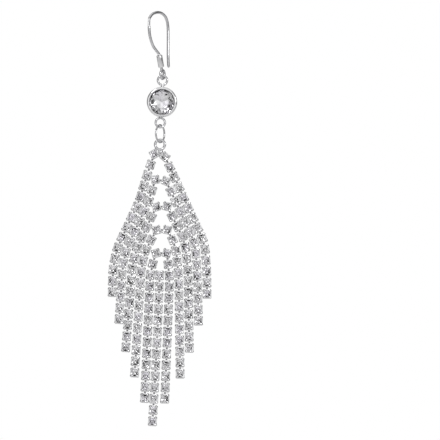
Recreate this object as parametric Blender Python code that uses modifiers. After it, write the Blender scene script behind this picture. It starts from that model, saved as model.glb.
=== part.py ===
# Chandelier earring: an ear hook, a round bezel drop and a fringe of five nested arches of
# cup chain with one more strand in the middle.
# Metres, +Z up, the stones face -Y. The origin is where the hook's crown rests in the ear.

import math

import bmesh
import bpy
from mathutils import Matrix, Vector

MM = 0.001
MERGE = 0.001 * MM  # points nearer than this are one
GAP = 0.08 * MM  # clearance between metal that rests on metal

# Ear hook: one round wire in an upright plane that is turned out of the XZ plane
HOOK_TURN = math.radians(60)
HOOK_WIRE = 0.70 * MM
HOOK_SMOOTHNESS = 2  # wire points for each route point
LOOP_RADIUS = 1.06 * MM  # to the middle of the wire
LOOP_TURN = math.radians(66)  # the loop is bent a little out of the hook's plane
LOOP_GAP = 0.14 * MM  # between the loop and the ring that hangs in it
FLAT_SWELL = 1.16  # the hammered stretch of the bow is this much wider
TIP_SHARE = 0.8  # of the wire, at the tip of the back leg

# Sleeve on the hook's wire
SLEEVE_RADIUS = 0.73 * MM
SLEEVE_BORE = 0.42 * MM
SLEEVE_LENGTH = 3.0 * MM
SLEEVE_CHAMFER = 0.08 * MM

# Bezel drop
BEZEL_RADIUS = 3.775 * MM
BEZEL_SIDES = 30
BEZEL_BORE = 3.12 * MM
BEZEL_FRONT = 1.50 * MM
BEZEL_BACK = -1.60 * MM
BEZEL_CHAMFER = 0.22 * MM
LIP_WIDTH = 0.12 * MM  # of the slope inside the rim
LIP_HEIGHT = 0.35 * MM
SEAT_FLOOR = 0.50 * MM  # radius of the seat's flat floor
SEAT_DEPTH = 0.12 * MM  # from the stone's point to that floor
SEAT_INSET = 0.14 * MM  # from the girdle in to the top of the seat's cone
SEAT_CONE_DROP = 0.18 * MM  # from the girdle down to it
SEAT_RIM_DROP = 0.03 * MM
RING_RADIUS = 1.16 * MM
RING_WIRE = 0.54 * MM
BEZEL_X = 0.85 * MM
BEZEL_DROP = 21.95 * MM
LOW_RING_X = 0.42 * MM
LOW_RING_DROP = 27.10 * MM
SOLDER_RADIUS = 0.42 * MM
SOLDER_SIDES = 8

# Round brilliant in the bezel
STONE_RADIUS = 3.04 * MM
TABLE_SHARE = 0.56  # of the girdle's radius
STAR_SHARE = 0.76
STONE_TABLE = 1.72 * MM
STONE_STAR = 1.42 * MM
GIRDLE_TOP = 0.85 * MM
GIRDLE_BOTTOM = 0.73 * MM
CULET = -1.12 * MM

# Jump ring and fringe ring
JUMP_TURN = math.radians(62)
JUMP_WIRE = 0.45 * MM
JUMP_X = 0.38 * MM
FRINGE_RING_RADIUS = 1.20 * MM
FRINGE_RING_WIRE = 0.65 * MM
FRINGE_RING_X = 0.35 * MM
FRINGE_RING_DROP = 32.60 * MM
FRINGE_SOLDER_RADIUS = 0.60 * MM
FRINGE_SOLDER_X = 0.52 * MM
FRINGE_SOLDER_DROP = 34.42 * MM
RING_SIDES = 16
WIRE_SIDES = 6

# Cup chain: a square cup with cut corners, a stone with a table and eight facets, a link
PITCH = 2.80 * MM
CUP_WIDTH = 2.30 * MM
CUP_LENGTH = 2.50 * MM  # along the chain
CUP_CORNER = 0.36 * MM
CUP_DEPTH = 1.20 * MM
BEND_GAP = 0.04 * MM  # left between a cup and the next where the chain bends, for each
LAYER_GAP = 0.25 * MM
LAYER_STEP = CUP_DEPTH + LAYER_GAP  # neighbours overlap a little, so every other chain hangs in front
HANG_LEAN = 0.006  # how far a strand leans back, as a share of its height
CHATON_RADIUS = 0.96 * MM
CHATON_TABLE = 0.54 * MM
CHATON_RISE = 0.36 * MM
LINK_WIRE = 0.46 * MM
LINK_SIDES = 5
LINK_BITE = 0.35 * MM  # how far a link's end reaches into a cup
LINK_SET_BACK = 0.20 * MM
CUPS_PER_LEG = 14
TOP_CUP_REACH = 0.48  # of a pitch, from an arch's middle to its first cup
LEVEL_RATIO = 4.0  # a step along the chain is level when it is this many times wider than high
LEVEL_PULL = 3.0  # how much more a level step turns its cups than a steep one
HALVINGS = 30  # steps that find the next cup's height

# Hook route in the hook's plane: forward of the crown, height (mm), from the tip of the back leg
HOOK_ROUTE = [
    (-4.90, -13.20),
    (-4.68, -10.20),
    (-4.70, -6.50),
    (-4.60, -3.00),
    (-3.75, -0.95),
    (-2.00, 0.10),
    (0.00, 0.35),
    (1.95, 0.08),
    (3.00, -0.27),
    (3.85, -0.85),
    (4.40, -1.60),
    (4.52, -3.20),
    (4.15, -5.60),
    (2.72, -8.00),
    (0.85, -9.35),
    (-0.40, -10.35),
]
LOOP_CENTRE = (-1.95, -15.05)
FLAT_STRETCH = (-3.5, -1.3)  # heights between which the bow is hammered

# Edges of the fringe: drop below the mount, x of the outermost strand on the left and on the
# right, spacing of the strands inside it (mm)
FRINGE_EDGES = [
    (34.9, -1.05, 1.45, 2.42),
    (40.7, -3.05, 4.00, 2.42),
    (46.5, -4.85, 6.55, 2.42),
    (51.5, -7.10, 8.85, 2.44),
    (56.5, -9.45, 11.15, 2.44),
    (59.0, -10.45, 11.65, 2.42),
    (61.6, -11.05, 11.85, 2.40),
    (64.0, -11.40, 12.00, 2.36),
    (67.5, -11.55, 12.10, 2.34),
    (71.0, -11.65, 12.15, 2.34),
]
DROP_COLUMN, LEFT_COLUMN, RIGHT_COLUMN, SPACING_COLUMN = range(4)
HANG_DROP = 67.0  # from here down the strands hang straight to their feet (mm)
CROWD = 3.2  # within this drop an arch's top closes in from its lane (mm)

# Arches, the outermost first: drop of the first cup on the left and on the right, x of the
# arch's middle, x of the left and of the right foot (mm)
ARCHES = [
    (34.95, 35.65, 0.25, -11.65, 12.10),
    (41.35, 41.75, 0.55, -9.95, 10.00),
    (48.15, 48.05, 0.78, -8.30, 7.70),
    (53.95, 53.90, 0.85, -6.00, 5.40),
    (59.75, 59.75, 0.70, -3.50, 1.55),
]
STRAND_TOP, STRAND_TOP_X, STRAND_FOOT_X = 65.25, 0.27, -1.50  # mm
STRAND_BEND = 1.25  # above 1 the strand leans more the lower it hangs

HOOK_BACK = Vector((math.cos(HOOK_TURN), math.sin(HOOK_TURN), 0))
LOOP_PLACE = HOOK_BACK * (-LOOP_CENTRE[0] * MM) + Vector((0, 0, LOOP_CENTRE[1] * MM))
DROP_Y = LOOP_PLACE.y  # the bezel and the fringe hang in this plane
RING_REST = LOOP_RADIUS - HOOK_WIRE / 2 - RING_WIRE / 2 - LOOP_GAP
DROP_PIVOT = Vector((LOOP_PLACE.x, DROP_Y, LOOP_PLACE.z - RING_REST))
FRINGE_PIVOT = Vector((FRINGE_RING_X, DROP_Y, FRINGE_RING_RADIUS - FRINGE_RING_DROP))
FACE_FRONT = Matrix.Rotation(math.pi / 2, 4, "X")  # turns +Z to -Y


def clear_scene():
    for thing in list(bpy.data.objects):
        bpy.data.objects.remove(thing, do_unlink=True)


def metal(name, colour, roughness):
    made = bpy.data.materials.new(name)
    made.use_nodes = True
    shader = made.node_tree.nodes["Principled BSDF"]
    shader.inputs["Base Color"].default_value = (*colour, 1)
    shader.inputs["Metallic"].default_value = 1
    shader.inputs["Roughness"].default_value = roughness
    return made


def crystal(name, colour):
    made = bpy.data.materials.new(name)
    made.use_nodes = True
    shader = made.node_tree.nodes["Principled BSDF"]
    shader.inputs["Base Color"].default_value = (*colour, 1)
    shader.inputs["Metallic"].default_value = 0
    shader.inputs["Roughness"].default_value = 0.03
    shader.inputs["Transmission Weight"].default_value = 0.6
    return made


def add_object(name, data, materials, parent, place):
    """Links a new object to the earring, at a place in the world and under its parent."""
    thing = bpy.data.objects.new(name, data)
    earring.objects.link(thing)
    for material in materials:
        data.materials.append(material)
    thing.parent = parent
    thing.location = place - world_places[parent.name]
    return thing


def add_pivot(name, place, parent=None):
    pivot = bpy.data.objects.new(name, None)
    pivot.empty_display_size = 2 * MM
    earring.objects.link(pivot)
    pivot.parent = parent
    pivot.location = place - (world_places[parent.name] if parent else Vector())
    world_places[name] = place
    return pivot


def to_mesh(bm, name):
    mesh = bpy.data.meshes.new(name)
    bm.to_mesh(mesh)
    bm.free()
    return mesh


def baked(thing):
    """The mesh of an object with its modifiers applied."""
    bpy.context.view_layer.update()
    evaluated = thing.evaluated_get(bpy.context.evaluated_depsgraph_get())
    return bpy.data.meshes.new_from_object(evaluated)


def join_solids(body, mesh):
    """Fuses a mesh, given in the body's own space, with the body."""
    cutter = bpy.data.objects.new(f"{body.name}_joined", mesh)
    cutters.objects.link(cutter)
    cutter.parent = body
    cutter.display_type = "WIRE"
    cutter.hide_render = True
    union = body.modifiers.new("join", "BOOLEAN")
    union.operation = "UNION"
    union.solver = "EXACT"
    union.object = cutter
    plain = baked(body)
    body.modifiers.clear()
    body.data = plain
    bpy.data.objects.remove(cutter, do_unlink=True)


def shade(mesh, angle):
    mesh.shade_smooth()
    mesh.set_sharp_from_angle(angle=math.radians(angle))


def add_torus(bm, radius, wire, turn, place):
    """A ring that stands upright, turned about Z, made by spinning the wire's section."""
    section = bmesh.ops.create_circle(bm, segments=WIRE_SIDES, radius=wire / 2)["verts"]
    bmesh.ops.transform(bm, verts=section, matrix=Matrix.Translation((radius, 0, 0)) @ FACE_FRONT)
    edges = list({edge for vert in section for edge in vert.link_edges})
    before = set(bm.verts) - set(section)
    bmesh.ops.spin(
        bm,
        geom=section + edges,
        axis=(0, 0, 1),
        cent=(0, 0, 0),
        angle=2 * math.pi,
        steps=RING_SIDES,
        use_merge=True,
    )
    verts = [vert for vert in bm.verts if vert not in before]
    bmesh.ops.transform(
        bm,
        verts=verts,
        matrix=Matrix.Translation(place) @ Matrix.Rotation(turn, 4, "Z") @ FACE_FRONT,
    )
    bmesh.ops.recalc_face_normals(bm, faces=[f for f in bm.faces if f.verts[0] in set(verts)])


def turned_mesh(name, profile, sides):
    """A solid turned about Z by a Screw modifier, from points (radius, height) down its outside."""
    bm = bmesh.new()
    points = [bm.verts.new((radius, 0, height)) for radius, height in profile]
    for upper, lower in zip(points, points[1:]):
        bm.edges.new((upper, lower))
    if profile[0][0] > 0:
        bm.edges.new((points[-1], points[0]))
    helper = bpy.data.objects.new(name, to_mesh(bm, name))
    earring.objects.link(helper)
    screw = helper.modifiers.new("turn", "SCREW")
    screw.steps = screw.render_steps = sides
    screw.use_merge_vertices = True
    screw.merge_threshold = MERGE
    mesh = baked(helper)
    bpy.data.objects.remove(helper, do_unlink=True)
    return mesh


def hermite(start, end, start_slope, end_slope, t):
    """A point on the cubic between two values, with the slopes at its ends."""
    return (
        (2 * t**3 - 3 * t**2 + 1) * start
        + (t**3 - 2 * t**2 + t) * start_slope
        + (3 * t**2 - 2 * t**3) * end
        + (t**3 - t**2) * end_slope
    )


def read_column(rows, column, at):
    """The smooth value of a table's column at a drop, held level past the last row."""
    drops = [row[DROP_COLUMN] for row in rows]
    values = [row[column] for row in rows]
    if at >= drops[-1]:
        return values[-1]
    here = max(i for i, drop in enumerate(drops) if drop <= max(at, drops[0]))
    step = drops[here + 1] - drops[here]

    def slope(i):
        low, high = max(i - 1, 0), min(i + 1, len(rows) - 1)
        return (values[high] - values[low]) / (drops[high] - drops[low]) * step

    t = (at - drops[here]) / step
    return hermite(values[here], values[here + 1], slope(here), slope(here + 1), t)


def hook_point(forward, height):
    """A point of the hook's plane (mm) in the world."""
    return HOOK_BACK * (-forward * MM) + Vector((0, 0, height * MM))


def hook_line():
    """The wire's middle line: the smooth route, then straight through the sleeve to the loop."""
    points = [hook_point(*row) for row in HOOK_ROUTE]
    end_step = (LOOP_PLACE - points[-1]).normalized() * (points[-1] - points[-2]).length
    steps = [points[1] - points[0]]
    steps += [(after - before) / 2 for before, after in zip(points, points[2:])]
    steps.append(end_step)
    line = []
    for i in range(len(points) - 1):
        for part in range(HOOK_SMOOTHNESS):
            t = part / HOOK_SMOOTHNESS
            line.append(hermite(points[i], points[i + 1], steps[i], steps[i + 1], t))
    loop_top = LOOP_PLACE + (points[-1] - LOOP_PLACE).normalized() * LOOP_RADIUS
    return line + [points[-1], loop_top]


def make_ear_hook():
    line = hook_line()
    curve = bpy.data.curves.new("ear_hook", "CURVE")
    curve.dimensions = "3D"
    curve.bevel_depth = HOOK_WIRE / 2
    curve.bevel_resolution = 2
    curve.use_fill_caps = True
    spline = curve.splines.new("POLY")
    spline.points.add(len(line) - 1)
    low, high = FLAT_STRETCH
    for point, place in zip(spline.points, line):
        point.co = (*place, 1)
        in_front = place.dot(HOOK_BACK) < 0
        if in_front and low * MM < place.z < high * MM:
            point.radius = FLAT_SWELL
    spline.points[0].radius = TIP_SHARE
    helper = bpy.data.objects.new("ear_hook_wire", curve)
    earring.objects.link(helper)
    bm = bmesh.new()
    bm.from_mesh(baked(helper))
    bpy.data.objects.remove(helper, do_unlink=True)
    bmesh.ops.remove_doubles(bm, verts=bm.verts, dist=MERGE)
    hook = add_object("ear_hook", to_mesh(bm, "ear_hook"), [silver], mount, Vector())
    loop = bmesh.new()
    add_torus(loop, LOOP_RADIUS, HOOK_WIRE, LOOP_TURN, LOOP_PLACE)
    join_solids(hook, to_mesh(loop, "loop"))
    shade(hook.data, 50)


def make_hook_sleeve():
    half = SLEEVE_LENGTH / 2
    mesh = turned_mesh(
        "hook_sleeve",
        [
            (SLEEVE_BORE, half),
            (SLEEVE_RADIUS - SLEEVE_CHAMFER, half),
            (SLEEVE_RADIUS, half - SLEEVE_CHAMFER),
            (SLEEVE_RADIUS, SLEEVE_CHAMFER - half),
            (SLEEVE_RADIUS - SLEEVE_CHAMFER, -half),
            (SLEEVE_BORE, -half),
        ],
        RING_SIDES,
    )
    top = hook_point(*HOOK_ROUTE[-1])
    down = (LOOP_PLACE - top).normalized()
    sleeve = add_object("hook_sleeve", mesh, [silver], mount, top + down * half)
    sleeve.rotation_euler = down.to_track_quat("-Z", "Y").to_euler()
    shade(mesh, 40)


def make_bezel_setting():
    wall = BEZEL_RADIUS - BEZEL_CHAMFER
    mesh = turned_mesh(
        "bezel_setting",
        [
            (0, CULET - SEAT_DEPTH),
            (SEAT_FLOOR, CULET - SEAT_DEPTH),
            (STONE_RADIUS - SEAT_INSET, GIRDLE_BOTTOM - SEAT_CONE_DROP),
            (BEZEL_BORE, GIRDLE_BOTTOM - SEAT_RIM_DROP),
            (BEZEL_BORE, BEZEL_FRONT - LIP_HEIGHT),
            (BEZEL_BORE + LIP_WIDTH, BEZEL_FRONT),
            (wall, BEZEL_FRONT),
            (BEZEL_RADIUS, BEZEL_FRONT - BEZEL_CHAMFER),
            (BEZEL_RADIUS, BEZEL_BACK + BEZEL_CHAMFER),
            (wall, BEZEL_BACK),
            (0, BEZEL_BACK),
        ],
        BEZEL_SIDES,
    )
    mesh.transform(FACE_FRONT)
    centre = Vector((BEZEL_X, DROP_Y, -BEZEL_DROP))
    bezel = add_object("bezel_setting", mesh, [silver], drop_pivot, centre)
    top_ring = DROP_PIVOT - Vector((0, 0, RING_RADIUS)) - centre
    low_ring = Vector((LOW_RING_X, DROP_Y, -LOW_RING_DROP)) - centre
    for ring in (top_ring, low_ring):
        solder = bmesh.new()
        reach = ring.length - BEZEL_RADIUS
        middle = ring.normalized() * (BEZEL_RADIUS + (reach - RING_RADIUS) / 2)
        bmesh.ops.create_cone(
            solder,
            cap_ends=True,
            segments=SOLDER_SIDES,
            radius1=SOLDER_RADIUS,
            radius2=SOLDER_RADIUS,
            depth=reach - RING_RADIUS + RING_WIRE,
            matrix=Matrix.Translation(middle) @ ring.to_track_quat("Z", "Y").to_matrix().to_4x4(),
        )
        join_solids(bezel, to_mesh(solder, "solder"))
        wire = bmesh.new()
        add_torus(wire, RING_RADIUS, RING_WIRE, 0, ring)
        join_solids(bezel, to_mesh(wire, "ring"))
    shade(bezel.data, 35)


def make_centre_stone():
    """A round brilliant: table, stars, kites, girdle and pavilion as the hull of its corners."""
    rows = [
        # corners, share of the girdle's radius, height, turned by part of a corner
        (8, TABLE_SHARE, STONE_TABLE, 0.0),
        (8, STAR_SHARE, STONE_STAR, 0.5),
        (16, 1.0, GIRDLE_TOP, 0.0),
        (16, 1.0, GIRDLE_BOTTOM, 0.0),
    ]
    bm = bmesh.new()
    for corners, share, height, part in rows:
        for i in range(corners):
            angle = 2 * math.pi * (i + part) / corners
            radius = STONE_RADIUS * share
            bm.verts.new((radius * math.cos(angle), radius * math.sin(angle), height))
    bm.verts.new((0, 0, CULET))
    bmesh.ops.convex_hull(bm, input=bm.verts)
    bmesh.ops.transform(bm, verts=bm.verts, matrix=FACE_FRONT)
    centre = Vector((BEZEL_X, DROP_Y, -BEZEL_DROP))
    mesh = to_mesh(bm, "centre_stone")
    add_object("centre_stone", mesh, [clear_stone], drop_pivot, centre)


def make_jump_ring():
    """It hangs on the bezel's lower ring and holds the fringe ring."""
    rest = (RING_WIRE + JUMP_WIRE) / 2 + GAP
    top = -LOW_RING_DROP - RING_RADIUS + rest
    bottom = FRINGE_PIVOT.z - (FRINGE_RING_WIRE + JUMP_WIRE) / 2 - GAP
    centre = Vector((JUMP_X, DROP_Y, (top + bottom) / 2))
    bm = bmesh.new()
    add_torus(bm, (top - bottom) / 2, JUMP_WIRE, JUMP_TURN, Vector())
    mesh = to_mesh(bm, "jump_ring")
    add_object("jump_ring", mesh, [silver], drop_pivot, centre)
    shade(mesh, 70)


def cup_place(x, drop, layer):
    """The middle of a cup (x and drop in mm) in the front or the back layer of chains."""
    lean = HANG_LEAN * (drop - ARCHES[0][0])
    return Vector((x * MM, DROP_Y - layer * LAYER_STEP + lean * MM, -drop * MM))


def leg_cups(number, on_right):
    """The cups of one leg of an arch, top to bottom: each a pitch from the last, on its lane."""
    left_top, right_top, middle, left_foot, right_foot = ARCHES[number]
    top, foot, side = (right_top, right_foot, 1) if on_right else (left_top, left_foot, -1)
    pitch = PITCH / MM
    first = middle + side * pitch * TOP_CUP_REACH
    bottom = top + pitch * (CUPS_PER_LEG - 1)
    edge_column = RIGHT_COLUMN if on_right else LEFT_COLUMN

    def lane(drop):
        edge = read_column(FRINGE_EDGES, edge_column, drop)
        return edge - side * number * read_column(FRINGE_EDGES, SPACING_COLUMN, drop)

    def place(drop):
        x = lane(min(drop, HANG_DROP))
        if drop > HANG_DROP:
            x += (foot - lane(HANG_DROP)) * (drop - HANG_DROP) / max(bottom - HANG_DROP, 1)
        return x + (first - lane(top)) * math.exp(-(((drop - top) / CROWD) ** 2))

    cups = [(first, top)]
    while len(cups) < CUPS_PER_LEG:
        x, drop = cups[-1]
        low, high = drop, drop + pitch
        for _ in range(HALVINGS):
            guess = (low + high) / 2
            near = math.hypot(place(guess) - x, guess - drop) < pitch
            low, high = (guess, high) if near else (low, guess)
        cups.append((place(low), low))
    return [cup_place(x, drop, number % 2) for x, drop in cups]


def strand_cups():
    """The cups of the centre strand, top to bottom."""
    cups = []
    for i in range(CUPS_PER_LEG):
        share = (i / (CUPS_PER_LEG - 1)) ** STRAND_BEND
        x = STRAND_TOP_X + (STRAND_FOOT_X - STRAND_TOP_X) * share
        cups.append(cup_place(x, STRAND_TOP + i * PITCH / MM, 1))
    return cups


def octagon(face, radius):
    """Moves a face's eight corners to a regular octagon about its middle."""
    middle = face.calc_center_median()
    for corner in face.verts:
        arm = corner.co - middle
        eighth = math.pi / 4
        angle = (math.floor(math.atan2(arm.z, arm.x) / eighth) + 0.5) * eighth
        corner.co = middle + Vector((math.cos(angle), 0, math.sin(angle))) * radius


def cup_mesh():
    """One cup with its stone, in front of its own middle: a bevelled box, inset to the stone."""
    bm = bmesh.new()
    size = Matrix.Diagonal((CUP_WIDTH, CUP_DEPTH, CUP_LENGTH, 1))
    bmesh.ops.create_cube(bm, size=1, matrix=size)
    corners = [e for e in bm.edges if abs(e.verts[0].co.y - e.verts[1].co.y) > CUP_DEPTH / 2]
    bmesh.ops.bevel(bm, geom=corners, offset=CUP_CORNER, affect="EDGES", segments=1)
    front = min(bm.faces, key=lambda face: face.calc_center_median().y)
    bmesh.ops.inset_individual(bm, faces=[front], thickness=CUP_WIDTH / 2 - CHATON_RADIUS)
    octagon(front, CHATON_RADIUS)
    crown = bmesh.ops.inset_individual(
        bm, faces=[front], thickness=CHATON_RADIUS - CHATON_TABLE, depth=CHATON_RISE
    )
    octagon(front, CHATON_TABLE)
    for face in [front, *crown["faces"]]:
        face.material_index = 1
    return to_mesh(bm, "cup")


def cup_headings(cups):
    """The direction in which each cup points along its chain, as a turn about Y."""
    steps = []
    for upper, lower in zip(cups, cups[1:]):
        step = lower - upper
        level = abs(step.x) > LEVEL_RATIO * abs(step.z)
        steps.append(step * LEVEL_PULL if level else step)
    runs = [before + after for before, after in zip([Vector(), *steps], [*steps, Vector()])]
    return [math.atan2(run.x, run.z) for run in runs]


def cup_stretch(cups, headings, i):
    """A cup's share of its full length: shorter where the chain bends, to clear the next cup."""
    rooms = [CUP_LENGTH / 2]
    for j in (i - 1, i + 1):
        if 0 <= j < len(cups):
            half_bend = abs(math.remainder(headings[j] - headings[i], 2 * math.pi)) / 2
            side = (CUP_WIDTH / 2 - CUP_CORNER) * math.sin(half_bend)
            reach = (cups[j] - cups[i]).length / 2 - BEND_GAP - side
            rooms.append(reach / math.cos(half_bend))
    return min(rooms) / (CUP_LENGTH / 2)


def make_chain(name, cups, extra=None):
    """Fuses a chain's cups, its stones, the links between them and any extra solids."""
    chain = bmesh.new()
    cup = cup_mesh()
    headings = cup_headings(cups)
    for i, place in enumerate(cups):
        start = len(chain.verts)
        chain.from_mesh(cup)
        chain.verts.ensure_lookup_table()
        stretch = Matrix.Diagonal((1, 1, cup_stretch(cups, headings, i), 1))
        turn = Matrix.Rotation(headings[i], 4, "Y") @ stretch
        bmesh.ops.transform(
            chain,
            verts=chain.verts[start:],
            matrix=Matrix.Translation(place - FRINGE_PIVOT) @ turn,
        )
    thing = add_object(name, to_mesh(chain, name), [silver, clear_stone], fringe_pivot, FRINGE_PIVOT)
    links = bmesh.new()
    set_back = Vector((0, LINK_SET_BACK, 0)) - FRINGE_PIVOT
    for upper, lower in zip(cups, cups[1:]):
        run = lower - upper
        upright = run.to_track_quat("Z", "Y").to_matrix().to_4x4()
        bmesh.ops.create_cone(
            links,
            cap_ends=True,
            segments=LINK_SIDES,
            radius1=LINK_WIRE / 2,
            radius2=LINK_WIRE / 2,
            depth=run.length - CUP_LENGTH + 2 * LINK_BITE,
            matrix=Matrix.Translation((upper + lower) / 2 + set_back) @ upright,
        )
    join_solids(thing, to_mesh(links, "links"))
    for solid in extra or []:
        join_solids(thing, solid)
    return thing


def fringe_ring_solids():
    """The ring soldered to the top of the outermost arch, and its solder."""
    centre = Vector((FRINGE_RING_X, DROP_Y, -FRINGE_RING_DROP)) - FRINGE_PIVOT
    ring = bmesh.new()
    add_torus(ring, FRINGE_RING_RADIUS, FRINGE_RING_WIRE, 0, centre)
    solder = bmesh.new()
    place = Vector((FRINGE_SOLDER_X, DROP_Y, -FRINGE_SOLDER_DROP)) - FRINGE_PIVOT
    bmesh.ops.create_uvsphere(
        solder,
        u_segments=SOLDER_SIDES,
        v_segments=6,
        radius=FRINGE_SOLDER_RADIUS,
        matrix=Matrix.Translation(place),
    )
    return [to_mesh(solder, "solder"), to_mesh(ring, "ring")]


def make_fringe():
    for number in range(len(ARCHES)):
        left, right = leg_cups(number, False), leg_cups(number, True)
        extra = fringe_ring_solids() if number == 0 else None
        make_chain(f"arch_{number + 1}", left[::-1] + right, extra)
    make_chain("centre_strand", strand_cups())


clear_scene()
earring = bpy.data.collections.new("chandelier_earring")
cutters = bpy.data.collections.new("cutters")
bpy.context.scene.collection.children.link(earring)
bpy.context.scene.collection.children.link(cutters)
world_places = {}
silver = metal("silver_plate", (0.86, 0.86, 0.87), 0.14)
clear_stone = crystal("clear_stone", (0.93, 0.93, 0.96))
mount = add_pivot("ear_mount", Vector())
drop_pivot = add_pivot("drop_pivot", DROP_PIVOT, mount)
fringe_pivot = add_pivot("fringe_pivot", FRINGE_PIVOT, drop_pivot)
make_ear_hook()
make_hook_sleeve()
make_bezel_setting()
make_centre_stone()
make_jump_ring()
make_fringe()
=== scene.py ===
import math
import random

import bmesh
import bpy
from mathutils import Matrix, Vector


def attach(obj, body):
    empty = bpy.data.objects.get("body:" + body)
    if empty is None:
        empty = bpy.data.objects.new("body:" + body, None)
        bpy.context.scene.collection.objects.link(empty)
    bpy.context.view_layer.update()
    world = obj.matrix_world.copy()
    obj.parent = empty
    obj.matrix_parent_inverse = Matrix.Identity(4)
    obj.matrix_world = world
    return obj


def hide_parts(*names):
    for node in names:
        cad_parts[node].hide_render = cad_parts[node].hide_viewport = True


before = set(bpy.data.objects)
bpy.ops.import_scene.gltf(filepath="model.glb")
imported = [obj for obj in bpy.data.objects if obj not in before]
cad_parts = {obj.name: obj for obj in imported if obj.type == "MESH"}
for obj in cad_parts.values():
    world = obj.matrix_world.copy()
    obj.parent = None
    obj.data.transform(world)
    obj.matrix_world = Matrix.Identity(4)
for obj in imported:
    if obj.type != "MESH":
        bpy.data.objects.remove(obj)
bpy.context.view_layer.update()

mm = 0.001
mergeGap = 0.0005 * mm
dice = random.Random(7)  # the small turns of the stones, the same on each run
faceFront = Matrix.Rotation(math.pi / 2, 4, "X")  # turns +Z to -Y, the way the stones face
sameFacet = math.radians(0.5)  # faces that differ by less make one facet

# sizes in millimetres, as in the CAD source
hookWire = {
    "wire": 0.70,
    "turn": 60,  # degrees out of the XZ plane
    "loopRadius": 1.06,
    "loopTurn": 66,
    "loopCentre": (-1.95, -15.05),
    "loopSides": (56, 18),
    "hammered": (-3.5, -1.3),  # heights of the flattened stretch
    "hammeredSwell": 1.16,
    "hammeredThin": 0.45,  # of the wire's thickness, beaten away across the hook's plane
    "hammeredFade": 0.35,
    "tipShare": 0.6,
    "smoothness": 8,  # steps from one point of the route to the next
    "roundness": 6,
    "sharpFrom": 50,
    "route": [  # forward of the crown, height
        (-4.90, -13.20),
        (-4.68, -10.20),
        (-4.70, -6.50),
        (-4.60, -3.00),
        (-3.75, -0.95),
        (-2.00, 0.10),
        (0.00, 0.35),
        (1.95, 0.08),
        (3.00, -0.27),
        (3.85, -0.85),
        (4.40, -1.60),
        (4.52, -3.20),
        (4.15, -5.60),
        (2.72, -8.00),
        (0.85, -9.35),
        (-0.40, -10.35),
    ],
}
hookTurn = math.radians(hookWire["turn"])
hookBack = Vector((math.cos(hookTurn), math.sin(hookTurn), 0))


def hookPoint(forward, height):
    return (hookBack * -forward + Vector((0, 0, height))) * mm


loopPlace = hookPoint(*hookWire["loopCentre"])
hangY = loopPlace.y  # the bezel and the fringe hang in this plane


def newPiece(name, bm, materials, body, slot, *nodes):  # makes the mesh an object that stands for its nodes
    mesh = bpy.data.meshes.new(name)
    bm.to_mesh(mesh)
    bm.free()
    for material in materials:
        mesh.materials.append(material)
    piece = bpy.data.objects.new(name, mesh)
    bpy.context.scene.collection.objects.link(piece)
    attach(piece, body)
    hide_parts(*nodes)
    return piece


def shade(piece, sharpFrom):  # smooth, but for edges that are sharper than an angle in degrees
    piece.data.shade_smooth()
    piece.data.set_sharp_from_angle(angle=math.radians(sharpFrom))


def addRing(bm, radius, wire, turn, place, ringSides, finish=0):  # an upright ring of round wire
    sides, wireSides = ringSides
    part = bmesh.new()
    section = bmesh.ops.create_circle(part, segments=wireSides, radius=wire / 2)["verts"]
    bmesh.ops.transform(part, verts=section, matrix=Matrix.Translation((radius, 0, 0)) @ faceFront)
    bmesh.ops.spin(
        part, geom=part.verts[:] + part.edges[:], axis=(0, 0, 1), cent=(0, 0, 0),
        angle=2 * math.pi, steps=sides, use_merge=True,
    )
    upright = Matrix.Translation(place) @ Matrix.Rotation(turn, 4, "Z") @ faceFront
    bmesh.ops.transform(part, verts=part.verts, matrix=upright)
    addPart(bm, part, finish)


def addTurned(bm, profile, sides, matrix):  # a shape turned about Z from (radius, height)
    part = bmesh.new()
    points = [part.verts.new((radius * mm, 0, height * mm)) for radius, height in profile]
    for upper, lower in zip(points, points[1:]):
        part.edges.new((upper, lower))
    if profile[0][0] > 0:
        part.edges.new((points[-1], points[0]))
    bmesh.ops.spin(
        part, geom=part.verts[:] + part.edges[:], axis=(0, 0, 1), cent=(0, 0, 0),
        angle=2 * math.pi, steps=sides, use_merge=True,
    )
    bmesh.ops.remove_doubles(part, verts=part.verts, dist=mergeGap)
    bmesh.ops.transform(part, verts=part.verts, matrix=matrix)
    addPart(bm, part)


def addPart(bm, part, finish=None):  # adds a part, in the piece's material of that number
    bmesh.ops.recalc_face_normals(part, faces=part.faces)
    if finish is not None:
        for face in part.faces:
            face.material_index = finish
    mesh = bpy.data.meshes.new("part")
    part.to_mesh(mesh)
    part.free()
    bm.from_mesh(mesh)
    bpy.data.meshes.remove(mesh)


# materials
def addNode(tree, kind, **settings):
    node = tree.nodes.new(kind)
    for name, value in settings.items():
        setattr(node, name, value)
    return node


def addNoise(tree, place, scale, detail):  # the scale is a number or another node's socket
    noise = addNode(tree, "ShaderNodeTexNoise")
    noise.inputs["Detail"].default_value = detail
    tree.links.new(place, noise.inputs["Vector"])
    if isinstance(scale, bpy.types.NodeSocket):
        tree.links.new(scale, noise.inputs["Scale"])
    else:
        noise.inputs["Scale"].default_value = scale
    return noise.outputs["Fac"]


def rangeNode(tree, source, low, high, outLow, outHigh):
    node = addNode(tree, "ShaderNodeMapRange")
    node.inputs["From Min"].default_value = low
    node.inputs["From Max"].default_value = high
    node.inputs["To Min"].default_value = outLow
    node.inputs["To Max"].default_value = outHigh
    tree.links.new(source, node.inputs["Value"])
    return node.outputs["Result"]


def mixColours(tree, share, first, second):  # each colour is a value or another node's socket
    mix = addNode(tree, "ShaderNodeMix", data_type="RGBA")
    tree.links.new(share, mix.inputs[0])
    for colour, socket in ((first, mix.inputs[6]), (second, mix.inputs[7])):
        if isinstance(colour, bpy.types.NodeSocket):
            tree.links.new(colour, socket)
        else:
            socket.default_value = colour
    return mix.outputs[2]


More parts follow.
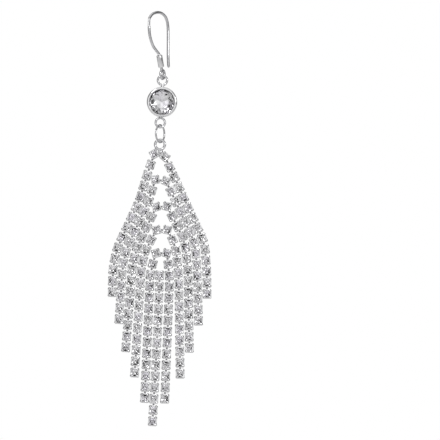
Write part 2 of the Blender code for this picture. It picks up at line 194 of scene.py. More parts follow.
def makeGroup(name, numbers, colours, results):  # an empty effect that reads a place, numbers and colours
    group = bpy.data.node_groups.new(name, "ShaderNodeTree")
    group.interface.new_socket("Vector", in_out="INPUT", socket_type="NodeSocketVector")
    for label in numbers:
        group.interface.new_socket(label, in_out="INPUT", socket_type="NodeSocketFloat")
    for label in colours:
        group.interface.new_socket(label, in_out="INPUT", socket_type="NodeSocketColor")
    for label, kind in results:
        group.interface.new_socket(label, in_out="OUTPUT", socket_type=kind)
    return group, addNode(group, "NodeGroupInput").outputs, addNode(group, "NodeGroupOutput").inputs


wear = {"hazeDetail": 3, "dentDetail": 2, "leastRoughness": 0.03, "toneEdges": (0.35, 0.65)}


def makePlateWear():  # haze, tiny dents and a change of tone, for all the plated metal
    results = [("Colour", "NodeSocketColor"), ("Roughness", "NodeSocketFloat"), ("Height", "NodeSocketFloat")]
    numbers = ["Haze Scale", "Dent Scale", "Haze", "Tone"]
    group, given, made = makeGroup("plateWear", numbers, ["Light", "Dark"], results)
    haze = addNoise(group, given["Vector"], given["Haze Scale"], wear["hazeDetail"])
    dents = addNoise(group, given["Vector"], given["Dent Scale"], wear["dentDetail"])
    rough = addNode(group, "ShaderNodeMath", operation="MULTIPLY_ADD")
    group.links.new(haze, rough.inputs[0])
    group.links.new(given["Haze"], rough.inputs[1])
    rough.inputs[2].default_value = wear["leastRoughness"]
    group.links.new(rough.outputs[0], made["Roughness"])
    tone = addNode(group, "ShaderNodeMath", operation="MULTIPLY")
    group.links.new(rangeNode(group, haze, *wear["toneEdges"], 0, 1), tone.inputs[0])
    group.links.new(given["Tone"], tone.inputs[1])
    group.links.new(mixColours(group, tone.outputs[0], given["Light"], given["Dark"]), made["Colour"])
    group.links.new(dents, made["Height"])
    return group


def makePlate(name, look):
    material = bpy.data.materials.new(name)
    material.use_nodes = True
    tree = material.node_tree
    shader = tree.nodes["Principled BSDF"]
    shader.inputs["Metallic"].default_value = 1
    place = addNode(tree, "ShaderNodeTexCoord")
    worn = addNode(tree, "ShaderNodeGroup", node_tree=plateWear)
    tree.links.new(place.outputs["Object"], worn.inputs["Vector"])
    for socket in ("Haze Scale", "Dent Scale", "Haze", "Tone", "Light", "Dark"):
        worn.inputs[socket].default_value = look[socket]
    bump = addNode(tree, "ShaderNodeBump")
    bump.inputs["Strength"].default_value = look["dents"]
    bump.inputs["Distance"].default_value = look["dentDepth"] * mm
    tree.links.new(worn.outputs["Height"], bump.inputs["Height"])
    tree.links.new(worn.outputs["Colour"], shader.inputs["Base Color"])
    tree.links.new(worn.outputs["Roughness"], shader.inputs["Roughness"])
    tree.links.new(bump.outputs["Normal"], shader.inputs["Normal"])
    return material


# the shadow colour is painted shade for the stones' darkened facets
tintAndShade = {"detail": 2, "edges": (0.42, 0.62), "shadow": (0.02, 0.02, 0.022, 1)}


def makeStoneTint():  # pale lavender patches that change from stone to stone
    colours = ["Clear", "Tinted"]
    group, given, made = makeGroup("stoneTint", ["Patch Scale"], colours, [("Colour", "NodeSocketColor")])
    patches = addNoise(group, given["Vector"], given["Patch Scale"], tintAndShade["detail"])
    strength = rangeNode(group, patches, *tintAndShade["edges"], 0, 1)
    group.links.new(mixColours(group, strength, given["Clear"], given["Tinted"]), made["Colour"])
    return group


def makeStone(name, look):
    material = bpy.data.materials.new(name)
    material.use_nodes = True
    tree = material.node_tree
    shader = tree.nodes["Principled BSDF"]
    for socket in ("Metallic", "Roughness", "IOR", "Transmission Weight"):
        shader.inputs[socket].default_value = look[socket]
    place = addNode(tree, "ShaderNodeTexCoord")
    tinted = addNode(tree, "ShaderNodeGroup", node_tree=stoneTint)
    tree.links.new(place.outputs["Object"], tinted.inputs["Vector"])
    for socket in ("Patch Scale", "Clear", "Tinted"):
        tinted.inputs[socket].default_value = look[socket]
    gleam = addNode(tree, "ShaderNodeAttribute", attribute_name="gleam")
    dimmed = rangeNode(tree, gleam.outputs["Fac"], 0, 1, look["gleam"], 0)  # no gleam is painted shadow
    colour = mixColours(tree, dimmed, tinted.outputs["Colour"], tintAndShade["shadow"])
    tree.links.new(colour, shader.inputs["Base Color"])
    return material


plateWear = makePlateWear()
stoneTint = makeStoneTint()
wireLook = {
    "Haze Scale": 500, "Dent Scale": 900, "Haze": 0.10, "Tone": 0.50, "dents": 0.08, "dentDepth": 0.02,
    "Light": (0.74, 0.74, 0.75, 1), "Dark": (0.46, 0.46, 0.47, 1),
}
settingLook = {
    "Haze Scale": 600, "Dent Scale": 1100, "Haze": 0.08, "Tone": 0.40, "dents": 0.06, "dentDepth": 0.02,
    "Light": (0.90, 0.90, 0.90, 1), "Dark": (0.66, 0.66, 0.67, 1),
}
chainLook = {
    "Haze Scale": 700, "Dent Scale": 1300, "Haze": 0.14, "Tone": 0.60, "dents": 0.30, "dentDepth": 0.05,
    "Light": (0.93, 0.93, 0.93, 1), "Dark": (0.60, 0.60, 0.61, 1),
}
# painted shade: the links are much darker than the cups, as they lie in the shade between them
linkShadeLook = {
    "Haze Scale": 700, "Dent Scale": 1300, "Haze": 0.20, "Tone": 0.60, "dents": 0.20, "dentDepth": 0.03,
    "Light": (0.34, 0.34, 0.35, 1), "Dark": (0.18, 0.18, 0.19, 1),
}
# gleam: how strongly the facets' painted shade shows, none on the crown and full on the foil
crownLook = {
    "Metallic": 0, "Roughness": 0.0, "IOR": 1.54, "Transmission Weight": 1,
    "Patch Scale": 300, "Clear": (1, 1, 1, 1), "Tinted": (0.99, 0.985, 1.0, 1), "gleam": 0.0,
}
foilLook = {
    "Metallic": 1, "Roughness": 0.03, "IOR": 1.5, "Transmission Weight": 0,
    "Patch Scale": 300, "Clear": (0.97, 0.97, 0.97, 1), "Tinted": (0.94, 0.93, 0.96, 1), "gleam": 1.0,
}
wirePlate = makePlate("wirePlate", wireLook)
settingPlate = makePlate("settingPlate", settingLook)
chainPlate = makePlate("chainPlate", chainLook)
linkShadePlate = makePlate("linkShadePlate", linkShadeLook)
stoneCrown = makeStone("stoneCrown", crownLook)
stoneFoil = makeStone("stoneFoil", foilLook)
print("materials made")


# hook and sleeve
def hermite(start, end, startSlope, endSlope, t):
    return (
        (2 * t**3 - 3 * t**2 + 1) * start + (t**3 - 2 * t**2 + t) * startSlope
        + (3 * t**2 - 2 * t**3) * end + (t**3 - t**2) * endSlope
    )


def hookLine():  # the wire's middle line, through the sleeve to the top of the loop
    points = [hookPoint(*row) for row in hookWire["route"]]
    endStep = (loopPlace - points[-1]).normalized() * (points[-1] - points[-2]).length
    steps = [points[1] - points[0]]
    steps += [(after - before) / 2 for before, after in zip(points, points[2:])]
    steps.append(endStep)
    line = []
    for i in range(len(points) - 1):
        for part in range(hookWire["smoothness"]):
            t = part / hookWire["smoothness"]
            line.append(hermite(points[i], points[i + 1], steps[i], steps[i + 1], t))
    down = (loopPlace - points[-1]).normalized()
    return line + [points[-1], loopPlace - down * hookWire["loopRadius"] * mm]


def hammeredShare(place):  # 1 inside the flattened stretch of the bow, 0 elsewhere
    low, high = hookWire["hammered"]
    inside = min(place.z / mm - low, high - place.z / mm) / hookWire["hammeredFade"]
    return min(max(inside, 0), 1) if place.dot(hookBack) < 0 else 0


def makeHook():
    line = hookLine()
    curve = bpy.data.curves.new("hookLine", "CURVE")
    curve.dimensions = "3D"
    curve.bevel_depth = hookWire["wire"] / 2 * mm
    curve.bevel_resolution = hookWire["roundness"]
    curve.use_fill_caps = True
    spline = curve.splines.new("POLY")
    spline.points.add(len(line) - 1)
    for point, place in zip(spline.points, line):
        point.co = (*place, 1)
        point.radius = 1 + (hookWire["hammeredSwell"] - 1) * hammeredShare(place)
    spline.points[0].radius = hookWire["tipShare"]
    helper = bpy.data.objects.new("hookLine", curve)
    bpy.context.scene.collection.objects.link(helper)
    bpy.context.view_layer.update()
    shown = helper.evaluated_get(bpy.context.evaluated_depsgraph_get())
    swept = bpy.data.meshes.new_from_object(shown)
    part = bmesh.new()
    part.from_mesh(swept)
    bpy.data.objects.remove(helper)
    bpy.data.meshes.remove(swept)
    bmesh.ops.remove_doubles(part, verts=part.verts, dist=mergeGap)
    across = hookBack.cross(Vector((0, 0, 1)))
    for corner in part.verts:
        corner.co -= across * corner.co.dot(across) * hookWire["hammeredThin"] * hammeredShare(corner.co)
    bm = bmesh.new()
    addPart(bm, part)
    loopTurn = math.radians(hookWire["loopTurn"])
    loopRadius, wire = hookWire["loopRadius"] * mm, hookWire["wire"] * mm
    addRing(bm, loopRadius, wire, loopTurn, loopPlace, hookWire["loopSides"])
    made = newPiece("hookWire", bm, [wirePlate], "hook", "silver_plate", "ear_hook")
    shade(made, hookWire["sharpFrom"])


sleeve = {
    "radius": 0.73, "bore": 0.42, "length": 3.0, "sides": 48, "sharpFrom": 40,
    "edge": 0.08,
    "rim": [(1, 0), (0.3, 0.3), (0, 1)],  # in and down, in edges
}


def makeSleeve():
    half = sleeve["length"] / 2
    radius, bore, edge = sleeve["radius"], sleeve["bore"], sleeve["edge"]
    top = hookPoint(*hookWire["route"][-1])
    down = (loopPlace - top).normalized()
    middle = top + down * half * mm
    upright = Matrix.Translation(middle) @ down.to_track_quat("-Z", "Y").to_matrix().to_4x4()
    bm = bmesh.new()
    upper = [(bore, half - edge / 2), (bore + edge / 2, half)]
    upper += [(radius - edge * inwards, half - edge * below) for inwards, below in sleeve["rim"]]
    lower = [(out, -height) for out, height in reversed(upper)]
    addTurned(bm, upper + lower, sleeve["sides"], upright)
    made = newPiece("hookSleeve", bm, [settingPlate], "hook", "silver_plate", "hook_sleeve")
    shade(made, sleeve["sharpFrom"])


makeHook()
makeSleeve()
print("hook and sleeve made")

# bezel drop
bezel = {
    "x": 0.85, "drop": 21.95, "radius": 3.775, "bore": 3.12, "front": 1.50, "back": -1.60,
    "lip": [(0, 0.35), (0.072, 0.12), (0.12, 0.02), (0.20, 0)],  # out from the bore, back from the front
    "edge": 0.22,
    "rim": [(1.4, 0.1), (0.9, 0.35), (0.5, 0.7), (0.2, 1.15), (0, 1.7)],  # in and back, in edges
    "heel": [(0, 1), (0.3, 0.3), (1, 0)],  # in and forward, in edges
    "seatFloor": 0.50, "seatDepth": 0.12, "seatInset": 0.14, "seatConeDrop": 0.18, "seatRimDrop": 0.03,
    "ringRadius": 1.16, "ringWire": 0.54, "loopGap": 0.14, "lowRingX": 0.42, "lowRingDrop": 27.10,
    "solder": 0.42, "solderTaper": 0.8, "solderSides": 20,
    "sides": 96, "ringSides": (56, 16), "sharpFrom": 40,
}
brilliant = {
    "radius": 3.04, "table": 0.56, "star": 0.76, "tableHeight": 1.72, "girdleTop": 0.85, "girdleBottom": 0.73,
    "girdleCorners": 16, "culet": 0.12, "seatCulet": -1.12, "bulge": 1.3,
    # corners, share of the radius, turned by part of a corner
    "lowerRows": [(24, 0.88, 0.5), (24, 0.76, 0), (24, 0.64, 0.5), (16, 0.50, 0), (8, 0.26, 0.5)],
    # painted shade on chance facets, out to a share of the radius: how rare, how dark
    "shadeZones": [(0.55, 4.0, 0.15), (0.95, 5.5, 1.0), (1.0, 4.0, 0.3)],
}
bezelCentre = Vector((bezel["x"] * mm, hangY, -bezel["drop"] * mm))
ringRest = hookWire["loopRadius"] - hookWire["wire"] / 2 - bezel["ringWire"] / 2 - bezel["loopGap"]
dropPivot = Vector((loopPlace.x, hangY, loopPlace.z - ringRest * mm))


def makeBezel():
    radius, bore, edge = bezel["radius"], bezel["bore"], bezel["edge"]
    front, back = bezel["front"], bezel["back"]
    floor = brilliant["seatCulet"] - bezel["seatDepth"]
    seat = brilliant["girdleBottom"]
    profile = [  # from the middle of the seat, out over the rim and back in behind
        (0, floor), (bezel["seatFloor"], floor),
        (brilliant["radius"] - bezel["seatInset"], seat - bezel["seatConeDrop"]),
        (bore, seat - bezel["seatRimDrop"]),
    ]
    profile += [(bore + out, front - down) for out, down in bezel["lip"]]
    profile += [(radius - edge * inwards, front - edge * down) for inwards, down in bezel["rim"]]
    profile += [(radius - edge * inwards, back + edge * up) for inwards, up in bezel["heel"]]
    profile.append((0, back))
    bm = bmesh.new()
    addTurned(bm, profile, bezel["sides"], Matrix.Translation(bezelCentre) @ faceFront)
    finish = [settingPlate, wirePlate]
    ringFinish = finish.index(wirePlate)
    ringRadius, ringWire, solder = (bezel[size] * mm for size in ("ringRadius", "ringWire", "solder"))
    topRing = dropPivot - Vector((0, 0, ringRadius))
    lowRing = Vector((bezel["lowRingX"] * mm, hangY, -bezel["lowRingDrop"] * mm))
    for place in (topRing, lowRing):
        addRing(bm, ringRadius, ringWire, 0, place, bezel["ringSides"], ringFinish)
        arm = place - bezelCentre
        reach = arm.length - radius * mm - ringRadius
        middle = bezelCentre + arm.normalized() * (radius * mm + reach / 2)
        joint = bmesh.new()
        bmesh.ops.create_cone(
            joint, cap_ends=True, segments=bezel["solderSides"],
            radius1=solder, radius2=solder * bezel["solderTaper"], depth=reach + ringWire,
            matrix=Matrix.Translation(middle) @ arm.to_track_quat("Z", "Y").to_matrix().to_4x4(),
        )
        addPart(bm, joint, ringFinish)
    made = newPiece("bezelSetting", bm, finish, "drop", "silver_plate", "bezel_setting")
    shade(made, bezel["sharpFrom"])


# the crown is clear and all below it is foil, as on a stone that is foiled behind
def addBrilliant(bm, stone, matrix, crownFinish, foilFinish):
    radius, table, top = stone["radius"], stone["table"], stone["tableHeight"]
    slope = (stone["girdleTop"] - top) / (radius * (1 - table))
    starHeight = top + slope * radius * (stone["star"] * math.cos(math.pi / 8) - table)
    rows = [  # corners, share of the radius, height, turned by part of a corner
        (8, table, top, 0),
        (8, stone["star"], starHeight, 0.5),
        (stone["girdleCorners"], 1, stone["girdleTop"], 0),
        (stone["girdleCorners"], 1, stone["girdleBottom"], 0),
    ]
    deep = stone["girdleBottom"] - stone["culet"]
    for corners, share, turned in stone["lowerRows"]:
        rows.append((corners, share, stone["culet"] + deep * share ** stone["bulge"], turned))
    part = bmesh.new()
    for corners, share, height, turned in rows:
        ring = bmesh.ops.create_circle(part, segments=corners, radius=radius * share * mm)["verts"]
        turn = Matrix.Rotation(2 * math.pi * turned / corners, 4, "Z")
        bmesh.ops.transform(part, verts=ring, matrix=Matrix.Translation((0, 0, height * mm)) @ turn)
    part.verts.new((0, 0, stone["culet"] * mm))
    bmesh.ops.convex_hull(part, input=part.verts)
    bmesh.ops.dissolve_limit(part, angle_limit=sameFacet, verts=part.verts, edges=part.edges)
    bmesh.ops.recalc_face_normals(part, faces=part.faces)
    middle = (stone["girdleTop"] + stone["girdleBottom"]) / 2 * mm
    # painted shade: chance facets are darkened zone by zone, standing in for dark reflections
    gleam = part.faces.layers.float.new("gleam")
    for face in part.faces:
        spot = face.calc_center_median()
        face.material_index = crownFinish if spot.z > middle else foilFinish
        reach = spot.xy.length / (radius * mm)
        rarity, darkest = next(zone[1:] for zone in stone["shadeZones"] if reach <= zone[0])
        face[gleam] = 1 - dice.random() ** rarity * darkest
    bmesh.ops.transform(part, verts=part.verts, matrix=matrix)
    addPart(bm, part)


def makeCentreStone():
    finish = [stoneCrown, stoneFoil]
    place = Matrix.Translation(bezelCentre) @ faceFront
    bm = bmesh.new()
    addBrilliant(bm, brilliant, place, finish.index(stoneCrown), finish.index(stoneFoil))
    newPiece("centreStone", bm, finish, "drop", "clear_stone", "centre_stone")


jumpRing = {"turn": 62, "wire": 0.45, "x": 0.38, "gap": 0.08, "sides": (56, 14), "sharpFrom": 70}
fringeRing = {
    "radius": 1.20, "wire": 0.65, "x": 0.35, "drop": 32.60, "sides": (56, 16),
    "solder": 0.60, "solderX": 0.52, "solderDrop": 34.42, "solderRoundness": 3,
}


def makeJumpRing():
    wire, gap = jumpRing["wire"], jumpRing["gap"]
    top = -bezel["lowRingDrop"] - bezel["ringRadius"] + (bezel["ringWire"] + wire) / 2 + gap
    bottom = fringeRing["radius"] - fringeRing["drop"] - (fringeRing["wire"] + wire) / 2 - gap
    bm = bmesh.new()
    centre = Vector((jumpRing["x"] * mm, hangY, (top + bottom) / 2 * mm))
    turn = math.radians(jumpRing["turn"])
    addRing(bm, (top - bottom) / 2 * mm, wire * mm, turn, centre, jumpRing["sides"])
    made = newPiece("jumpRing", bm, [wirePlate], "drop", "silver_plate", "jump_ring")
    shade(made, jumpRing["sharpFrom"])


makeBezel()
makeCentreStone()
makeJumpRing()
print("bezel drop made")

# fringe
cupChain = {
    "pitch": 2.80, "cupsPerLeg": 14, "bendGap": 0.04, "layerGap": 0.25,
    "lean": 0.006,  # how far a strand leans back, as a share of its height
    "topCupReach": 0.48,  # of the pitch, from an arch's middle to its first cups
    "levelRatio": 4.0,  # a step counts as level when it runs this much more across than down
    "levelPull": 3.0,  # how many times a level step counts in the way its cups point
    "width": 2.30, "length": 2.50, "depth": 1.20, "corner": 0.36, "cornerSteps": 2, "rim": 0.08,
    "wallInset": 0.04, "seatGap": 0.02, "seatDepth": 0.45, "seatTaper": 0.6,
    "prong": (0.42, 0.50, 0.42), "prongIn": 0.01, "prongSink": 0.22, "prongLean": 12, "prongSides": (10, 7),
    "linkWire": 0.46, "linkBite": 0.35, "linkSetBack": 0.20, "linkSides": 10,
    "cupTilt": 1.5, "stoneTilt": 5, "stoneTurn": 45, "sharpFrom": 30,  # degrees
}
chaton = {
    "radius": 0.99, "table": 0.54, "star": 0.76, "tableHeight": 0.36, "girdleTop": 0.03,
    "girdleBottom": -0.03, "girdleCorners": 8, "culet": -0.42, "bulge": 1.15,
    "lowerRows": [(8, 0.34, 0.5)],
    "shadeZones": [(0.30, 0.6, 0.75), (1.0, 4.0, 0.45)],
}
fringe = {
    "edges": [  # drop, x of the outermost strand left and right, spacing of the strands inside it
        (34.9, -1.05, 1.45, 2.42),
        (40.7, -3.05, 4.00, 2.42),
        (46.5, -4.85, 6.55, 2.42),
        (51.5, -7.10, 8.85, 2.44),
        (56.5, -9.45, 11.15, 2.44),
        (59.0, -10.45, 11.65, 2.42),
        (61.6, -11.05, 11.85, 2.40),
        (64.0, -11.40, 12.00, 2.36),
        (67.5, -11.55, 12.10, 2.34),
        (71.0, -11.65, 12.15, 2.34),
    ],
    "hangDrop": 67.0,  # below this the strands hang straight to their feet
    "crowd": 3.2,  # over how many millimetres a leg swings out from its top cup to its own lane
    "arches": [  # drop of the first cup left and right, x of the middle, x of the feet
        (34.95, 35.65, 0.25, -11.65, 12.10),
        (41.35, 41.75, 0.55, -9.95, 10.00),
        (48.15, 48.05, 0.78, -8.30, 7.70),
        (53.95, 53.90, 0.85, -6.00, 5.40),
        (59.75, 59.75, 0.70, -3.50, 1.55),
    ],
    "strand": (65.25, 0.27, -1.50, 1.25),  # top drop, top x, foot x, bend
}


def readColumn(column, at):  # the smooth value of the edge table at a drop
    rows = fringe["edges"]
    drops = [row[0] for row in rows]
    values = [row[column] for row in rows]
    if at >= drops[-1]:
        return values[-1]
    here = max(i for i, drop in enumerate(drops) if drop <= max(at, drops[0]))
    step = drops[here + 1] - drops[here]

    def slope(i):
        low, high = max(i - 1, 0), min(i + 1, len(rows) - 1)
        return (values[high] - values[low]) / (drops[high] - drops[low]) * step

    return hermite(values[here], values[here + 1], slope(here), slope(here + 1), (at - drops[here]) / step)


def cupPlace(x, drop, layer):  # the middle of a cup in the front or the back layer, leaning back a little
    step = cupChain["depth"] + cupChain["layerGap"]
    lean = cupChain["lean"] * (drop - fringe["arches"][0][0])
    return Vector((x * mm, hangY + (lean - layer * step) * mm, -drop * mm))


def legCups(number, onRight):  # one leg of an arch, from its top down, a pitch between cups
    leftTop, rightTop, middle, leftFoot, rightFoot = fringe["arches"][number]
    top, foot, side, column = (rightTop, rightFoot, 1, 2) if onRight else (leftTop, leftFoot, -1, 1)
    pitch = cupChain["pitch"]
    hang = fringe["hangDrop"]
    first = middle + side * pitch * cupChain["topCupReach"]
    bottom = top + pitch * (cupChain["cupsPerLeg"] - 1)

    def lane(drop):
        return readColumn(column, drop) - side * number * readColumn(3, drop)

    def place(drop):
        x = lane(min(drop, hang))
        if drop > hang:
            x += (foot - lane(hang)) * (drop - hang) / max(bottom - hang, 1)
        return x + (first - lane(top)) * math.exp(-(((drop - top) / fringe["crowd"]) ** 2))

    cups = [(first, top)]
    while len(cups) < cupChain["cupsPerLeg"]:
        x, drop = cups[-1]
        low, high = drop, drop + pitch
        for _ in range(30):  # closes in on the place one pitch further down
            guess = (low + high) / 2
            near = math.hypot(place(guess) - x, guess - drop) < pitch
            low, high = (guess, high) if near else (low, guess)
        cups.append((place(low), low))
    return [cupPlace(x, drop, number % 2) for x, drop in cups]


def strandCups():
    top, topX, footX, bend = fringe["strand"]
    last = cupChain["cupsPerLeg"] - 1
    return [
        cupPlace(topX + (footX - topX) * (i / last) ** bend, top + i * cupChain["pitch"], 1)
        for i in range(last + 1)
    ]


def roundFace(face, radius):  # moves a face's corners to a circle about its middle
    middle = face.calc_center_median()
    for corner in face.verts:
        arm = corner.co - middle
        corner.co = middle + Vector((arm.x, 0, arm.z)).normalized() * radius


def frontFace(cup):
    return min(cup.faces, key=lambda face: face.calc_center_median().y)


def bevelEdges(cup, edges, size, steps):
    bmesh.ops.bevel(
        cup, geom=edges, offset=cupChain[size] * mm, affect="EDGES", segments=steps, profile=0.5, material=-1
    )


def makeCup():  # a cup with rounded corners, a hollow seat and four prongs over the stone
    width, depth, length = (cupChain[side] * mm for side in ("width", "depth", "length"))
    wall = 2 * cupChain["wallInset"] * mm  # the sides lie a little inside the prongs
    cup = bmesh.new()
    bmesh.ops.create_cube(cup, size=1, matrix=Matrix.Diagonal((width - wall, depth, length - wall, 1)))
    upright = [e for e in cup.edges if abs(e.verts[0].co.y - e.verts[1].co.y) > depth / 2]
    bevelEdges(cup, upright, "corner", cupChain["cornerSteps"])
    bevelEdges(cup, frontFace(cup).edges[:], "rim", 1)
    front = frontFace(cup)
    roundFace(front, (chaton["radius"] + cupChain["seatGap"]) * mm)
    slope = chaton["radius"] * cupChain["seatTaper"] * mm
    bmesh.ops.inset_individual(cup, faces=[front], thickness=slope, depth=-cupChain["seatDepth"] * mm)
    bm = bmesh.new()
    addPart(bm, cup)
    thick, tall, long = (side * mm for side in cupChain["prong"])
    inwards, sink = cupChain["prongIn"] * mm, cupChain["prongSink"] * mm
    lean = math.radians(cupChain["prongLean"])
    aroundSides, downSides = cupChain["prongSides"]
    for sideX in (-1, 1):
        for sideZ in (-1, 1):
            across = sideX * (width / 2 - thick - inwards)
            along = sideZ * (length / 2 - long - inwards)
            spot = Matrix.Translation((across, sink - depth / 2, along))
            turn = Matrix.Rotation(lean * -sideZ, 4, "X") @ Matrix.Rotation(lean * sideX, 4, "Z")
            prong = bmesh.new()
            bmesh.ops.create_uvsphere(
                prong, u_segments=aroundSides, v_segments=downSides, radius=1,
                matrix=spot @ turn @ Matrix.Diagonal((thick, tall, long, 1)),
            )
            addPart(bm, prong)
    mesh = bpy.data.meshes.new("cup")
    bm.to_mesh(mesh)
    bm.free()
    return mesh


def cupHeadings(cups):  # the way each cup points along its chain, as a turn about Y
    steps = []
    for upper, lower in zip(cups, cups[1:]):
        step = lower - upper
        level = abs(step.x) > cupChain["levelRatio"] * abs(step.z)
        steps.append(step * cupChain["levelPull"] if level else step)
    runs = [before + after for before, after in zip([Vector(), *steps], [*steps, Vector()])]
    return [math.atan2(run.x, run.z) for run in runs]


def cupStretch(cups, headings, i):  # shorter where the chain bends, to clear the next cup
    half = cupChain["length"] / 2
    rooms = [half]
    for j in (i - 1, i + 1):
        if 0 <= j < len(cups):
            halfBend = abs(math.remainder(headings[j] - headings[i], 2 * math.pi)) / 2
            side = (cupChain["width"] / 2 - cupChain["corner"]) * math.sin(halfBend)
            reach = (cups[j] - cups[i]).length / mm / 2 - cupChain["bendGap"] - side
            rooms.append(reach / math.cos(halfBend))
    return min(rooms) / half


def chanceTurn(least, most, axis):  # in degrees
    return Matrix.Rotation(math.radians(dice.uniform(least, most)), 4, axis)


def smallTurn(limit):  # a small chance turn about X and Z
    most = cupChain[limit]
    turn = chanceTurn(-most, most, "X")
    return turn @ chanceTurn(-most, most, "Z")


chainFinish = [chainPlate, stoneCrown, stoneFoil, linkShadePlate, wirePlate]


def addChain(bm, cups, cupMesh):
    front = Matrix.Translation((0, -cupChain["depth"] / 2 * mm, 0))
    crownFinish, foilFinish = chainFinish.index(stoneCrown), chainFinish.index(stoneFoil)
    headings = cupHeadings(cups)
    for i, place in enumerate(cups):
        turn = Matrix.Translation(place) @ Matrix.Rotation(headings[i], 4, "Y") @ smallTurn("cupTilt")
        start = len(bm.verts)
        bm.from_mesh(cupMesh)
        bm.verts.ensure_lookup_table()
        stretch = Matrix.Diagonal((1, 1, cupStretch(cups, headings, i), 1))
        bmesh.ops.transform(bm, verts=bm.verts[start:], matrix=turn @ stretch)
        spin = faceFront @ chanceTurn(0, cupChain["stoneTurn"], "Z")
        stonePlace = turn @ front @ smallTurn("stoneTilt") @ spin
        addBrilliant(bm, chaton, stonePlace, crownFinish, foilFinish)
    back = Vector((0, cupChain["linkSetBack"] * mm, 0))
    radius = cupChain["linkWire"] / 2 * mm
    hidden = (cupChain["length"] - 2 * cupChain["linkBite"]) * mm
    # the links take the darker plate, painted shade between the cups
    for upper, lower in zip(cups, cups[1:]):
        run = lower - upper
        spot = Matrix.Translation((upper + lower) / 2 + back)
        link = bmesh.new()
        bmesh.ops.create_cone(
            link, cap_ends=True, segments=cupChain["linkSides"], radius1=radius, radius2=radius,
            depth=run.length - hidden, matrix=spot @ run.to_track_quat("Z", "Y").to_matrix().to_4x4(),
        )
        addPart(bm, link, chainFinish.index(linkShadePlate))


def addFringeRing(bm):  # soldered to the top of the outermost arch
    finish = chainFinish.index(wirePlate)
    place = Vector((fringeRing["x"] * mm, hangY, -fringeRing["drop"] * mm))
    addRing(bm, fringeRing["radius"] * mm, fringeRing["wire"] * mm, 0, place, fringeRing["sides"], finish)
    solderPlace = Vector((fringeRing["solderX"] * mm, hangY, -fringeRing["solderDrop"] * mm))
    solder = bmesh.new()
    bmesh.ops.create_icosphere(
        solder, subdivisions=fringeRing["solderRoundness"], radius=fringeRing["solder"] * mm,
        matrix=Matrix.Translation(solderPlace),
    )
    addPart(bm, solder, finish)


def finishChain(name, bm, node):
    shade(newPiece(name, bm, chainFinish, "fringe", "cup_chain", node), cupChain["sharpFrom"])


def makeFringe():
    cupMesh = makeCup()
    for number in range(len(fringe["arches"])):
        bm = bmesh.new()
        addChain(bm, legCups(number, False)[::-1] + legCups(number, True), cupMesh)
        if number == 0:
            addFringeRing(bm)
        finishChain(f"cupChain{number + 1}", bm, f"arch_{number + 1}")
    bm = bmesh.new()
    addChain(bm, strandCups(), cupMesh)
    finishChain("cupChainMiddle", bm, "centre_strand")
    bpy.data.meshes.remove(cupMesh)


makeFringe()
print("fringe made")

# floor, light and camera
studio = {
    "floorDrop": 0.45, "floorRadius": 3.0, "floorSides": 96, "fibre": 60, "fibreDetail": 4,
    "paper": ((0.93, 0.93, 0.93, 1), (0.97, 0.97, 0.97, 1)), "paperRoughness": 0.9,
    "backdrop": 1.0,  # what the camera sees round the earring
    "soft": (0.72, 1.02), "card": (0.07, 0.42), "cool": 1.01,  # grey levels, darkest and lightest
    "softPatches": (4.0, 0.40, 0.58), "cardPatches": (6.5, 0.42, 0.60),  # scale and edges of the patches
    "frontEdge": (-0.80, -0.50), "backEdge": (0.92, 0.99), "topEdge": (0.60, 0.88),  # where cards end
    "wander": 0.10, "wanderPatches": (2.2, 0.3, 0.7), "patchDetail": 1,
}


def makeFloor():
    bm = bmesh.new()
    bmesh.ops.create_circle(
        bm, cap_ends=True, segments=studio["floorSides"], radius=studio["floorRadius"],
        matrix=Matrix.Translation((0, 0, -studio["floorDrop"])),
    )
    mesh = bpy.data.meshes.new("floor")
    bm.to_mesh(mesh)
    bm.free()
    paper = bpy.data.materials.new("floorPaper")
    paper.use_nodes = True
    tree = paper.node_tree
    shader = tree.nodes["Principled BSDF"]
    shader.inputs["Roughness"].default_value = studio["paperRoughness"]
    place = addNode(tree, "ShaderNodeTexCoord")
    fibre = addNoise(tree, place.outputs["Object"], studio["fibre"], studio["fibreDetail"])
    tree.links.new(mixColours(tree, fibre, *studio["paper"]), shader.inputs["Base Color"])
    mesh.materials.append(paper)
    floor = bpy.data.objects.new("floor", mesh)
    bpy.context.scene.collection.objects.link(floor)


def addPatches(tree, place, patches, low, high):  # soft patches between two values
    scale, *edges = studio[patches]
    return rangeNode(tree, addNoise(tree, place, scale, studio["patchDetail"]), *edges, low, high)


def addGreys(tree, place, patches, levels):  # patches of grey between two levels
    greys = [(level, level, level * studio["cool"], 1) for level in studio[levels]]
    return mixColours(tree, addPatches(tree, place, patches, 0, 1), *greys)


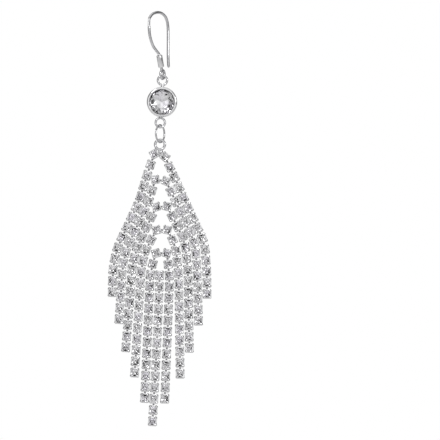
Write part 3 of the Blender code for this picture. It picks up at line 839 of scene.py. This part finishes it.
def makeWorld():  # a white room with dark cards at the sides, which draw the metal's edges
    world = bpy.data.worlds.new("studio")
    bpy.context.scene.world = world
    world.use_nodes = True
    tree = world.node_tree
    light = tree.nodes["Background"]
    place = addNode(tree, "ShaderNodeTexCoord").outputs["Generated"]
    parts = addNode(tree, "ShaderNodeSeparateXYZ")
    tree.links.new(place, parts.inputs[0])
    wander = addPatches(tree, place, "wanderPatches", -studio["wander"], studio["wander"])
    depth = addNode(tree, "ShaderNodeMath", operation="ADD")
    tree.links.new(parts.outputs["Y"], depth.inputs[0])
    tree.links.new(wander, depth.inputs[1])
    bright = rangeNode(tree, depth.outputs[0], *studio["frontEdge"], 1, 0)
    for source, edge in ((depth.outputs[0], "backEdge"), (parts.outputs["Z"], "topEdge")):
        join = addNode(tree, "ShaderNodeMath", operation="MAXIMUM")
        tree.links.new(bright, join.inputs[0])
        tree.links.new(rangeNode(tree, source, *studio[edge], 0, 1), join.inputs[1])
        bright = join.outputs[0]
    cards = addGreys(tree, place, "cardPatches", "card")
    walls = addGreys(tree, place, "softPatches", "soft")
    room = mixColours(tree, bright, cards, walls)
    path = addNode(tree, "ShaderNodeLightPath")
    backdrop = (studio["backdrop"],) * 3 + (1,)
    seen = mixColours(tree, path.outputs["Is Camera Ray"], room, backdrop)
    tree.links.new(seen, light.inputs["Color"])


softLights = [  # name, place, size, watts
    ("keyLight", (-0.35, -0.55, 0.45), 0.20, 1.2),
    ("fillLight", (0.50, -0.45, 0.10), 0.20, 0.6),
]
lightAim = Vector((0, 0, -0.05))


def makeLights():
    for name, place, size, watts in softLights:
        lamp = bpy.data.lights.new(name, "AREA")
        lamp.size = size
        lamp.energy = watts
        holder = bpy.data.objects.new(name, lamp)
        bpy.context.scene.collection.objects.link(holder)
        holder.location = place
        holder.rotation_euler = (lightAim - Vector(place)).to_track_quat("-Z", "Y").to_euler()


photoView = {  # in metres, but for the sensor
    "field": 0.110, "distance": 0.80, "centreX": 0.01535, "centreZ": -0.051425,
    "sensor": 36, "clip": (0.02, 50),
}


def makeCamera():
    lens = bpy.data.cameras.new("camera")
    lens.sensor_width = photoView["sensor"]
    lens.lens = photoView["sensor"] * photoView["distance"] / photoView["field"]
    lens.clip_start, lens.clip_end = photoView["clip"]
    camera = bpy.data.objects.new("camera", lens)
    bpy.context.scene.collection.objects.link(camera)
    camera.location = (photoView["centreX"], hangY - photoView["distance"], photoView["centreZ"])
    camera.rotation_euler = (math.pi / 2, 0, 0)
    bpy.context.scene.camera = camera


makeFloor()
makeWorld()
makeLights()
makeCamera()
bpy.context.scene.view_settings.view_transform = "Standard"
print("floor, light and camera made")
